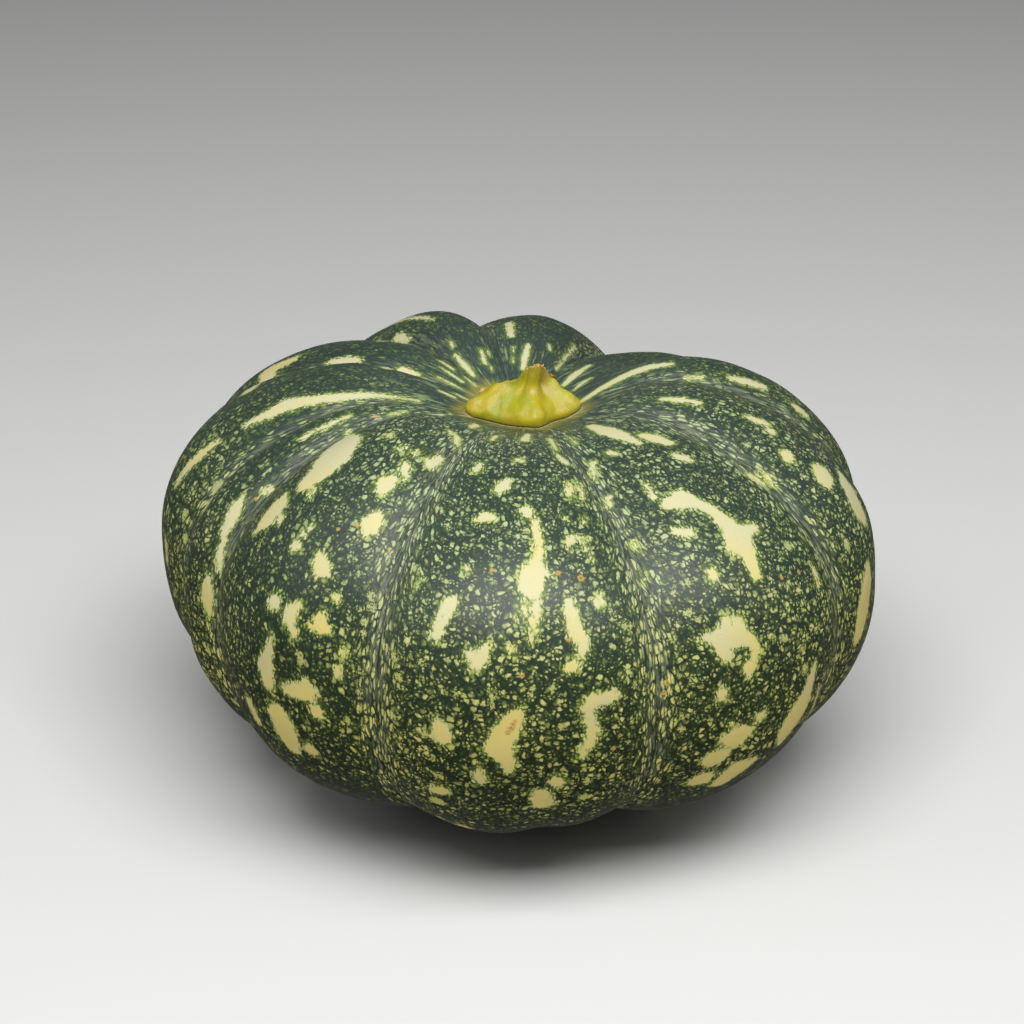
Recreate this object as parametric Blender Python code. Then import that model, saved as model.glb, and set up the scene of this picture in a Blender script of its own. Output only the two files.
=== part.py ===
"""A squat, ribbed green pumpkin as picked, with its torn stem, at real size. Metres, +Z up.

The fruit is one ball of eleven unequal lobes. Each furrow runs from the stem pit, over the
shoulder and down to the blossom scar. The stem is a five-cornered foot that sits in the pit and
narrows into a fluted neck, torn off low on its left side. The fruit stands on z = 0 and its box is
centred on the origin. Azimuth 0 is the front (-Y), and it grows towards +X.
"""

import math

import bmesh
import bpy
import numpy as np

MM = 0.001

# The plain profile that the lobes are pressed into
EQUATOR_HEIGHT = 73.4 * MM
CROWN_RISE = 65.5 * MM
BASE_DROP = 78.5 * MM
UPPER_REACH_POWER = 0.92
UPPER_RISE_POWER = 0.93
LOWER_REACH_POWER = 0.99
LOWER_DROP_POWER = 0.80
STEM_AXIS = (2.1 * MM, 1.8 * MM)

# The pit round the stem, the hollow round the blossom scar, and the scar itself
PIT_DEPTH = 20.3 * MM
PIT_WIDTH = 37.7 * MM
HOLLOW_DEPTH = 7.0 * MM
HOLLOW_WIDTH = 30.0 * MM
SCAR_RADIUS = 8.0 * MM
SCAR_EDGE = 3.0 * MM
SCAR_SINK = 1.0 * MM

# Each lobe: name, azimuth of the furrow before it (degrees), then in millimetres its reach from
# the stem's axis, how far its shoulder stands above the plain crown, and that furrow's depth
LOBES = (
    ("front", -22.0, 121.0, -4.0, 5.0),
    ("right_1", 20.5, 119.5, -4.0, 6.0),
    ("right_2", 59.0, 117.5, 3.0, 4.0),
    ("right_3", 92.0, 115.0, 4.0, 5.0),
    ("right_4", 118.0, 118.5, -10.0, 5.0),
    ("back_1", 158.0, 117.0, -0.5, 11.0),
    ("back_2", 192.0, 119.0, 4.5, 6.5),
    ("left_4", 219.0, 131.0, -4.0, 8.0),
    ("left_3", 244.0, 120.5, 2.5, 6.0),
    ("left_2", 283.0, 112.0, -1.0, 6.0),
    ("left_1", 299.5, 116.0, 4.0, 4.5),
)
BLEND_SHARPNESS = 22.0
LOBE_ROUNDNESS = 0.70
FURROW_ROUNDING = 0.04
FURROW_START = 6.0 * MM
FURROW_FULL = 75.0 * MM
SHOULDER_START = 10.0 * MM
SHOULDER_FULL = 60.0 * MM
SLANT = 0.62

# The shallow crease down the middle of the front lobe
CREASE_AZIMUTH = math.radians(4.0)
CREASE_WIDTH = math.radians(5.0)
CREASE_DEPTH = 1.6 * MM
CREASE_START, CREASE_FULL = 0.9, 1.5

# Stem: each corner of the foot, as azimuth (degrees) and reach in millimetres
FOOT_CORNERS = ((18.0, 17.8), (74.0, 20.2), (150.0, 17.0), (222.0, 17.5), (290.0, 18.5))
FOOT_WAIST = 13.2 * MM
FOOT_LIP = 1.4 * MM
CORNER_SHARPNESS = 14.0
NECK_RADIUS = 6.4 * MM
NECK_RIDGE = 2.3 * MM
NECK_LEAN = (3.2 * MM, 1.0 * MM)
STEM_HEIGHT = 19.2 * MM
NECK_FOOT = 0.33
FLARE_START, FLARE_END = 2.1, 2.2
PLUG_DEPTH = 9.0 * MM
RIM_STATION, FOOT_STATION = 0.22, 0.80

# Grooves down the neck: azimuth and width in degrees, and depth in millimetres
GROOVES = ((-7.0, 9.0, 1.5), (50.0, 11.0, 1.6), (112.0, 14.0, 1.2), (186.0, 14.0, 1.2), (256.0, 14.0, 1.0))
GROOVE_END = (0.40, 0.85)

# The torn top, across the stem from its axis: a low left shelf, a step up to the middle, a knob
# on it, and a small step down on the right. All of it falls away towards the back.
LEFT_DROP, LEFT_STEP = 4.2 * MM, (-0.8 * MM, 2.4 * MM)
RIGHT_DROP, RIGHT_STEP = 1.9 * MM, (8.0 * MM, 9.4 * MM)
KNOB_HEIGHT, KNOB_PLACE, KNOB_WIDTH = 0.9 * MM, 6.2 * MM, 2.0 * MM
BACK_FALL, BACK_FALL_LIMIT = 0.85, 12.0 * MM
TORN_FRONT = -5.0 * MM

GAP = 0.3 * MM
FRUIT_STEPS_PER_LOBE, FRUIT_RINGS, POLE_CROWDING = 10, 40, 0.6
STEM_STEPS, STEM_RINGS = 72, 32

FURROWS = np.radians([start for _, start, _, _, _ in LOBES])
NEXT_FURROWS = np.append(FURROWS[1:], FURROWS[0] + 2 * math.pi)
MIDDLES = (FURROWS + NEXT_FURROWS) / 2
REACHES = np.array([reach for _, _, reach, _, _ in LOBES]) * MM
SHOULDERS = np.array([shoulder for _, _, _, shoulder, _ in LOBES]) * MM
DEPTHS = np.array([depth for _, _, _, _, depth in LOBES]) * MM


def ramp(value, low, high):
    """0 below low, 1 above high, and an S curve between."""
    t = np.clip((value - low) / (high - low), 0, 1)
    return t * t * (3 - 2 * t)


def round_blend(azimuth, places, values):
    """A smooth value round the fruit that passes close to each lobe's or furrow's own value."""
    weights = np.exp(BLEND_SHARPNESS * (np.cos(azimuth[..., None] - places) - 1))
    return (weights * values).sum(-1) / weights.sum(-1)


def across_lobe(azimuth):
    """0 at the furrow before the lobe and 1 at the furrow after it."""
    turned = np.mod(azimuth - FURROWS[0], 2 * math.pi) + FURROWS[0]
    lobe = np.searchsorted(FURROWS, turned, side="right") - 1
    return (turned - FURROWS[lobe]) / (NEXT_FURROWS - FURROWS)[lobe]


def press_in(azimuth, polar, radius):
    """How deep the furrows and the front crease are pressed into the plain profile."""
    arch = np.sqrt(np.sin(math.pi * across_lobe(azimuth)) ** 2 + FURROW_ROUNDING**2)
    bulge = (arch - FURROW_ROUNDING) ** LOBE_ROUNDNESS
    fade = ramp(radius, FURROW_START, FURROW_FULL)
    furrow = round_blend(azimuth, FURROWS, DEPTHS) * (1 - bulge)
    off_crease = np.mod(azimuth - CREASE_AZIMUTH + math.pi, 2 * math.pi) - math.pi
    crease = CREASE_DEPTH * np.exp(-((off_crease / CREASE_WIDTH) ** 2))
    return (furrow + crease * ramp(polar, CREASE_START, CREASE_FULL)) * fade


def fruit_profile(azimuth, polar):
    """Radius from the stem's axis and height, where polar runs from 0 at the crown to pi."""
    sine, cosine = np.abs(np.sin(polar)), np.cos(polar)
    lean = np.abs(cosine)
    upper = cosine >= 0
    reach = round_blend(azimuth, MIDDLES, REACHES)
    radius = reach * np.where(upper, sine**UPPER_REACH_POWER, sine**LOWER_REACH_POWER)
    shoulder = round_blend(azimuth, MIDDLES, SHOULDERS)
    shoulder = shoulder * ramp(radius, SHOULDER_START, SHOULDER_FULL)
    crown = (CROWN_RISE + shoulder) * lean**UPPER_RISE_POWER
    crown = crown - PIT_DEPTH * np.exp(-((radius / PIT_WIDTH) ** 2))
    base = HOLLOW_DEPTH * np.exp(-((radius / HOLLOW_WIDTH) ** 2))
    base = base - BASE_DROP * lean**LOWER_DROP_POWER
    height = EQUATOR_HEIGHT + np.where(upper, crown, base)
    cut = press_in(azimuth, polar, radius)
    slope = np.hypot(sine * SLANT, cosine)
    radius = radius - cut * sine * SLANT / slope
    height = height - cut * cosine / slope
    scar = 1 - ramp(radius, SCAR_RADIUS, SCAR_RADIUS + SCAR_EDGE)
    height = np.where(upper, height, height * (1 - scar) - SCAR_SINK * scar)
    return radius, np.maximum(height, 0)


def skin_height(azimuth, radius):
    """Height of the fruit's skin in the stem pit, at this distance from the stem's axis."""
    reach = round_blend(azimuth, MIDDLES, REACHES)
    polar = np.arcsin(radius / reach)
    for _ in range(6):
        found, height = fruit_profile(azimuth, polar)
        polar = polar + (radius - found) / reach
    return height


def place(azimuth, radius, height):
    """Points from cylindrical coordinates about the stem's axis."""
    x = STEM_AXIS[0] + radius * np.sin(azimuth)
    y = STEM_AXIS[1] - radius * np.cos(azimuth)
    return np.stack([x, y, height], axis=-1)


def fruit_points(turn, fall):
    """turn runs 0 to 1 round the ball with as many steps in each lobe; fall is 0 at the crown."""
    lobes = len(LOBES)
    step = np.mod(np.rint(turn * lobes * FRUIT_STEPS_PER_LOBE), lobes * FRUIT_STEPS_PER_LOBE)
    lobe = (step // FRUIT_STEPS_PER_LOBE).astype(int)
    part = step / FRUIT_STEPS_PER_LOBE - lobe
    part = (part + (1 - np.cos(math.pi * part)) / 2) / 2
    azimuth = FURROWS[lobe] + part * (NEXT_FURROWS - FURROWS)[lobe]
    polar = math.pi * fall - POLE_CROWDING * np.sin(2 * math.pi * fall) / 2
    return place(azimuth, *fruit_profile(azimuth, polar))


def corner_sum(azimuth, values):
    """One rounded peak of the given height at each corner of the foot."""
    places = np.radians([corner[0] for corner in FOOT_CORNERS])
    peaks = np.exp(CORNER_SHARPNESS * (np.cos(azimuth[..., None] - places) - 1))
    return (peaks * values).sum(-1)


def neck_radius(azimuth, down):
    """The neck is round, with a ridge at each corner and grooves that fade out at the foot."""
    neck = NECK_RADIUS + corner_sum(azimuth, np.full(len(FOOT_CORNERS), NECK_RIDGE))
    for middle, width, depth in GROOVES:
        off = np.mod(azimuth - math.radians(middle) + math.pi, 2 * math.pi) - math.pi
        groove = depth * MM * np.exp(-((off / math.radians(width)) ** 2))
        neck = neck - groove * (1 - ramp(down, *GROOVE_END))
    return neck


def torn_height(x, y, top):
    """Height of the torn top at this place, measured from the stem's axis."""
    left = 1 - ramp(x, *LEFT_STEP)
    right = ramp(x, *RIGHT_STEP)
    knob = KNOB_HEIGHT * np.exp(-(((x - KNOB_PLACE) / KNOB_WIDTH) ** 2))
    fall = BACK_FALL * np.clip(y - TORN_FRONT, 0, BACK_FALL_LIMIT)
    return top + knob - LEFT_DROP * left - RIGHT_DROP * right - fall


def stem_points(turn, fall):
    """fall is 0 in the middle of the torn top, and 1 under the middle of the foot."""
    azimuth = 2 * math.pi * turn
    corners = np.array([corner[1] for corner in FOOT_CORNERS]) * MM
    foot = FOOT_WAIST + corner_sum(azimuth, corners - FOOT_WAIST)
    over = np.clip(fall / RIM_STATION, 0, 1)
    down = np.clip((fall - RIM_STATION) / (FOOT_STATION - RIM_STATION), 0, 1)
    under = np.clip((fall - FOOT_STATION) / (1 - FOOT_STATION), 0, 1)
    neck = neck_radius(azimuth, down)
    flare = np.clip((down - NECK_FOOT) / (1 - NECK_FOOT), 0, 1)
    flare = 1 - (1 - flare**FLARE_START) ** FLARE_END
    radius = over * (neck + (foot - neck) * flare) * (1 - under)
    seat = skin_height(azimuth, foot) + FOOT_LIP
    top = skin_height(np.zeros(1), np.zeros(1))[0] + STEM_HEIGHT
    tip = top + KNOB_HEIGHT
    height = tip + (seat - tip) * down - PLUG_DEPTH * np.sqrt(under)
    points = place(azimuth, radius, height)
    lean = 1 - ramp(down, 0, 1)
    points[:, 0] += NECK_LEAN[0] * lean
    points[:, 1] += NECK_LEAN[1] * lean
    torn = torn_height(points[:, 0] - STEM_AXIS[0], points[:, 1] - STEM_AXIS[1], top)
    points[:, 2] = np.minimum(points[:, 2], torn)
    return points


def shaped_ball(name, steps, rings, shape):
    """A ball whose points are moved by shape(turn, fall), with turn round it and fall down it."""
    ball = bmesh.new()
    bmesh.ops.create_uvsphere(ball, u_segments=steps, v_segments=rings, radius=1.0)
    mesh = bpy.data.meshes.new(name)
    ball.to_mesh(mesh)
    ball.free()
    points = np.empty(len(mesh.vertices) * 3, dtype=np.float32)
    mesh.vertices.foreach_get("co", points)
    x, y, z = points.reshape(-1, 3).astype(float).T
    turn = np.mod(np.rint(np.arctan2(x, -y) / (2 * math.pi) * steps), steps) / steps
    fall = np.rint(np.arccos(np.clip(z, -1, 1)) / math.pi * rings) / rings
    mesh.vertices.foreach_set("co", shape(turn, fall).astype(np.float32).ravel())
    mesh.update()
    mesh.shade_smooth()
    return bpy.data.objects.new(name, mesh)


def skin_material(name, colour, roughness):
    material = bpy.data.materials.new(name)
    material.use_nodes = True
    shader = material.node_tree.nodes["Principled BSDF"]
    shader.inputs["Base Color"].default_value = (*colour, 1.0)
    shader.inputs["Roughness"].default_value = roughness
    shader.inputs["Metallic"].default_value = 0.0
    return material


def clear_scene():
    for old in list(bpy.data.objects):
        bpy.data.objects.remove(old, do_unlink=True)


def new_collection(name):
    collection = bpy.data.collections.new(name)
    bpy.context.scene.collection.children.link(collection)
    return collection


def make_fruit(parts):
    fruit = shaped_ball("fruit", FRUIT_STEPS_PER_LOBE * len(LOBES), FRUIT_RINGS, fruit_points)
    fruit.data.materials.append(skin_material("mottled_rind", (0.045, 0.085, 0.040), 0.45))
    parts.objects.link(fruit)
    return fruit


def make_seat_cutter(fruit, cutters):
    """The fruit grown by the gap, which shapes the underside of the stem's foot."""
    cutter = bpy.data.objects.new("stem_seat_cutter", fruit.data.copy())
    size = len(cutter.data.vertices) * 3
    points, normals = np.empty(size, dtype=np.float32), np.empty(size, dtype=np.float32)
    cutter.data.vertices.foreach_get("co", points)
    cutter.data.vertex_normals.foreach_get("vector", normals)
    cutter.data.vertices.foreach_set("co", points + GAP * normals)
    cutter.data.update()
    cutter.hide_render = True
    cutter.display_type = "WIRE"
    cutters.objects.link(cutter)
    return cutter


def make_stem(cutter, parts):
    stem = shaped_ball("stem", STEM_STEPS, STEM_RINGS, stem_points)
    stem.data.materials.append(skin_material("dry_stem", (0.42, 0.38, 0.07), 0.55))
    stem.data.set_sharp_from_angle(angle=math.radians(50.0))
    seat = stem.modifiers.new("seat", "BOOLEAN")
    seat.operation = "DIFFERENCE"
    seat.solver = "EXACT"
    seat.object = cutter
    parts.objects.link(stem)
    return stem


def main():
    clear_scene()
    parts = new_collection("pumpkin")
    cutters = new_collection("cutters")
    fruit = make_fruit(parts)
    cutter = make_seat_cutter(fruit, cutters)
    make_stem(cutter, parts)


main()
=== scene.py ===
"""The looks of a squat, ribbed green pumpkin: its netted and blotched rind, and its torn stem.

The fruit and the stem follow the CAD's formulas on finer grids. The rind's pattern is made of
flecks in a dark net, with cream marks over it. The marks, the largest flecks and the scabs on
the side that the photo shows are given in the photo's pixels, and are cast onto the skin from the
photo's camera. The marks on the other sides are drawn at random from a fixed seed. Metres, +Z up.
Azimuth 0 is the front (-Y), and it grows towards +X.
"""

import math
from functools import reduce

import bpy
import numpy as np
from bpy.props import FloatProperty, FloatVectorProperty, PointerProperty
from bpy.types import Operator, Panel, PropertyGroup
from mathutils import Euler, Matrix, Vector
from mathutils.bvhtree import BVHTree


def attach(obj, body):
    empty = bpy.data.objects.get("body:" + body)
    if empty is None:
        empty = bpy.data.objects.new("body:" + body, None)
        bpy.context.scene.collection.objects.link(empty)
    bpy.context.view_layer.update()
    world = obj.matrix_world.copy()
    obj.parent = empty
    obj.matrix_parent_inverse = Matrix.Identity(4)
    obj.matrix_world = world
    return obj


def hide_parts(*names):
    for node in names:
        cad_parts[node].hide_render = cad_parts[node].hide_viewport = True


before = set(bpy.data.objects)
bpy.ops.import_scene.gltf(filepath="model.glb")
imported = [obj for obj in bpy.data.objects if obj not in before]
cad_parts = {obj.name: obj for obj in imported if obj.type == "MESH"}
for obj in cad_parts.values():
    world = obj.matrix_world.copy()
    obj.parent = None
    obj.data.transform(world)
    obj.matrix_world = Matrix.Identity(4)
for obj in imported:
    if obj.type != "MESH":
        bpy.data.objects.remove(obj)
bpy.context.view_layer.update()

bl_info = {
    "name": "Ribbed Pumpkin",
    "version": (1, 0, 0),
    "blender": (4, 5, 0),
    "location": "View3D > Sidebar > Pumpkin",
    "description": "Dresses the pumpkin's CAD solids in a netted rind and a torn stem",
    "category": "Object",
}

MM = 0.001

# The plain profile that the lobes are pressed into, as in the CAD
EQUATOR_HEIGHT = 73.4 * MM
CROWN_RISE = 65.5 * MM
BASE_DROP = 78.5 * MM
UPPER_REACH_POWER = 0.92
UPPER_RISE_POWER = 0.93
LOWER_REACH_POWER = 0.99
LOWER_DROP_POWER = 0.80
STEM_AXIS = (2.1 * MM, 1.8 * MM)

# The pit round the stem, the hollow round the blossom scar, and the scar itself
PIT_DEPTH = 20.3 * MM
PIT_WIDTH = 37.7 * MM
HOLLOW_DEPTH = 7.0 * MM
HOLLOW_WIDTH = 30.0 * MM
SCAR_RADIUS = 8.0 * MM
SCAR_EDGE = 3.0 * MM
SCAR_SINK = 1.0 * MM

# Each lobe: name, azimuth of the furrow before it (degrees), then in millimetres its reach from
# the stem's axis, how far its shoulder stands above the plain crown, and that furrow's depth
LOBES = (
    ("front", -22.0, 121.0, -4.0, 5.0),
    ("right_1", 20.5, 119.5, -4.0, 6.0),
    ("right_2", 59.0, 117.5, 3.0, 4.0),
    ("right_3", 92.0, 115.0, 4.0, 5.0),
    ("right_4", 118.0, 118.5, -10.0, 5.0),
    ("back_1", 158.0, 117.0, -0.5, 11.0),
    ("back_2", 192.0, 119.0, 4.5, 6.5),
    ("left_4", 219.0, 131.0, -4.0, 8.0),
    ("left_3", 244.0, 120.5, 2.5, 6.0),
    ("left_2", 283.0, 112.0, -1.0, 6.0),
    ("left_1", 299.5, 116.0, 4.0, 4.5),
)
BLEND_SHARPNESS = 22.0
LOBE_ROUNDNESS = 0.70
FURROW_ROUNDING = 0.04
FURROW_START = 6.0 * MM
FURROW_FULL = 75.0 * MM
SHOULDER_START = 10.0 * MM
SHOULDER_FULL = 60.0 * MM
SLANT = 0.62

# The shallow crease down the middle of the front lobe
CREASE_AZIMUTH = math.radians(4.0)
CREASE_WIDTH = math.radians(5.0)
CREASE_DEPTH = 1.6 * MM
CREASE_START, CREASE_FULL = 0.9, 1.5

# Stem: each corner of the foot, as azimuth (degrees) and reach in millimetres
FOOT_CORNERS = ((18.0, 17.8), (74.0, 20.2), (150.0, 17.0), (222.0, 17.5), (290.0, 18.5))
FOOT_WAIST = 13.2 * MM
FOOT_LIP = 1.4 * MM
FOOT_CLEARANCE = 0.3 * MM
CORNER_SHARPNESS = 14.0
NECK_RADIUS = 6.4 * MM
NECK_RIDGE = 2.3 * MM
NECK_LEAN = (3.2 * MM, 1.0 * MM)
STEM_HEIGHT = 19.2 * MM
NECK_FOOT = 0.33
FLARE_START, FLARE_END = 2.1, 2.2
PLUG_DEPTH = 9.0 * MM
STEM_SEAT = EQUATOR_HEIGHT + CROWN_RISE - PIT_DEPTH

# Grooves down the neck: azimuth and width in degrees, and depth in millimetres
GROOVES = (
    (-7.0, 9.0, 1.5),
    (50.0, 11.0, 1.6),
    (112.0, 14.0, 1.2),
    (186.0, 14.0, 1.2),
    (256.0, 14.0, 1.0),
)
GROOVE_END = (0.40, 0.85)

# The torn top, across the stem from its axis: a low left shelf, a step up to the middle, a knob
# on it, and a small step down on the right. All of it falls away towards the back.
LEFT_DROP, LEFT_STEP = 4.2 * MM, (-0.8 * MM, 2.4 * MM)
RIGHT_DROP, RIGHT_STEP = 1.9 * MM, (8.0 * MM, 9.4 * MM)
KNOB_HEIGHT, KNOB_PLACE, KNOB_WIDTH = 0.9 * MM, 6.2 * MM, 2.0 * MM
BACK_FALL, BACK_FALL_LIMIT = 0.85, 12.0 * MM
TORN_FRONT = -5.0 * MM

# How fine the visible surfaces are
LOBE_STEPS, FRUIT_RINGS, POLE_CROWDING = 40, 220, 0.25
STEM_STEPS, TOP_ROWS, SIDE_ROWS, UNDER_ROWS = 220, 22, 70, 14

# How the rind's pattern lies on the skin. Towards the stem it is drawn together as if the fruit
# never got much narrower than PATTERN_WAIST. By a furrow it is drawn together by the share
# FURROW_PULL, and the power FURROW_PINCH keeps that close to the furrow. Each lobe has its own
# part of the pattern, PATTERN_STEP metres from the last one's.
PATTERN_WAIST = 80.0 * MM
FURROW_PULL, FURROW_PINCH = 0.10, 8.0
PATTERN_STEP = 1.0

# The skin's waves and the stem's lumps: shortest and longest wave, and how many are added up.
# The skin's waves fade in over this range of radius and of height.
SKIN_WAVES = (18 * MM, 50 * MM, 14)
SKIN_WAVES_RADIUS = (22 * MM, 40 * MM)
SKIN_WAVES_HEIGHT = (6 * MM, 20 * MM)
TORN_WAVES = (1.5 * MM, 5 * MM, 16)
LUMP_WAVES = (5 * MM, 14 * MM, 14)
TORN_ROUGHNESS = 0.5 * MM
FIBRE_COUNT, FIBRE_HEIGHT = 23, 0.18 * MM

# The photo's camera
PHOTO_SIZE = 1024
CAMERA_DISTANCE = 0.9
CAMERA_ELEVATION = math.radians(25.88)
CAMERA_AIM_HEIGHT = 66.0 * MM
CAMERA_TILT = math.radians(65.236)
CAMERA_TURN = math.radians(0.033)
FOCAL_PIXELS = 2722.4
SENSOR_WIDTH = 36.0

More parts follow.
